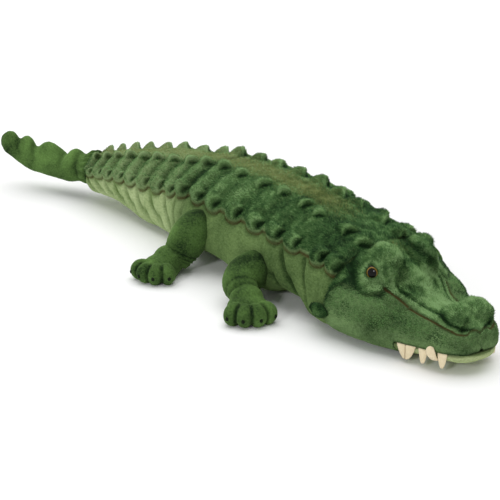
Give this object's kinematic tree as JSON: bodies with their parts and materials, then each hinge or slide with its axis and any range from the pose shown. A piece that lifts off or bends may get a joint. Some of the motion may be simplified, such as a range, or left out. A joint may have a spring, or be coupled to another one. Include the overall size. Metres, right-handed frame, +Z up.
{
  "type": "plush crocodile",
  "caption": "Stuffed plush crocodile lying on its belly, with a scute-rowed back, curved tail, short legs, felt teeth and safety eyes.",
  "frame": {"origin": "middle of the flat patch of belly that the crocodile rests on", "axes": "+X towards the nose along the trunk, +Y to the crocodile's left, +Z up"},
  "size_m": [0.996, 0.423, 0.1517],
  "materials": {
    "back_pile": "short dark green plush pile",
    "pale_pile": "short lighter green plush pile",
    "tooth_felt": "cream felt",
    "eye_plastic": "glossy amber and black",
    "washer_plastic": "plain black"
  },
  "bodies": {
    "trunk": {"trunk": "pale_pile", "trunk_hide": "back_pile"},
    "head": {"neck": "pale_pile", "neck_hide": "back_pile", "head": "back_pile", "left_eye": "eye_plastic", "right_eye": "eye_plastic", "left_eye_washer": "washer_plastic", "right_eye_washer": "washer_plastic", "left_wedge_tooth": "tooth_felt", "right_wedge_tooth": "tooth_felt", "left_small_tooth": "tooth_felt", "right_small_tooth": "tooth_felt", "left_front_tooth": "tooth_felt", "right_front_tooth": "tooth_felt"},
    "jaw": {"lower_jaw": "pale_pile", "left_lower_tooth": "tooth_felt", "right_lower_tooth": "tooth_felt"},
    "tail_root": {"tail_root": "pale_pile", "tail_root_hide": "back_pile"},
    "tail_tip": {"tail_tip": "back_pile"},
    "front_left_limb": {"front_left_leg": "back_pile", "front_left_foot": "back_pile"},
    "front_right_limb": {"front_right_leg": "back_pile", "front_right_foot": "back_pile"},
    "rear_left_limb": {"rear_left_leg": "back_pile", "rear_left_foot": "back_pile"},
    "rear_right_limb": {"rear_right_leg": "back_pile", "rear_right_foot": "back_pile"}
  },
  "joints": [
    {"name": "neck_turn", "type": "hinge", "parent": "trunk", "child": "head", "pos_m": [0.15805, 0, 0], "axis": [0, 0, 1], "range_deg": [-10, 10], "stiffness_Nm_per_rad": 1},
    {"name": "jaw_open", "type": "hinge", "parent": "head", "child": "jaw", "pos_m": [0.33182, -0.00833, 0.0169], "axis": [0.0593, 0.9982, 0], "range_deg": [0, 5], "stiffness_Nm_per_rad": 1.5, "springref_deg": -2.86},
    {"name": "tail_root_turn", "type": "hinge", "parent": "trunk", "child": "tail_root", "pos_m": [-0.13195, 0, 0], "axis": [0, 0, 1], "range_deg": [-8, 8], "stiffness_Nm_per_rad": 1},
    {"name": "tail_tip_turn", "type": "hinge", "parent": "tail_root", "child": "tail_tip", "pos_m": [-0.40139, -0.05167, 0], "axis": [0, 0, 1], "range_deg": [-14, 14], "stiffness_Nm_per_rad": 0.3},
    {"name": "front_left_leg_turn", "type": "hinge", "parent": "trunk", "child": "front_left_limb", "pos_m": [0.06235, 0.09519, 0.05175], "axis": [0, 0, 1], "range_deg": [-18, 18], "stiffness_Nm_per_rad": 0.3},
    {"name": "front_right_leg_turn", "type": "hinge", "parent": "trunk", "child": "front_right_limb", "pos_m": [0.06235, -0.09519, 0.05175], "axis": [0, 0, 1], "range_deg": [-18, 18], "stiffness_Nm_per_rad": 0.3},
    {"name": "rear_left_leg_turn", "type": "hinge", "parent": "trunk", "child": "rear_left_limb", "pos_m": [-0.07975, 0.09513, 0.05175], "axis": [0, 0, 1], "range_deg": [-18, 18], "stiffness_Nm_per_rad": 0.3},
    {"name": "rear_right_leg_turn", "type": "hinge", "parent": "trunk", "child": "rear_right_limb", "pos_m": [-0.07975, -0.09513, 0.05175], "axis": [0, 0, 1], "range_deg": [-18, 18], "stiffness_Nm_per_rad": 0.3}
  ]
}
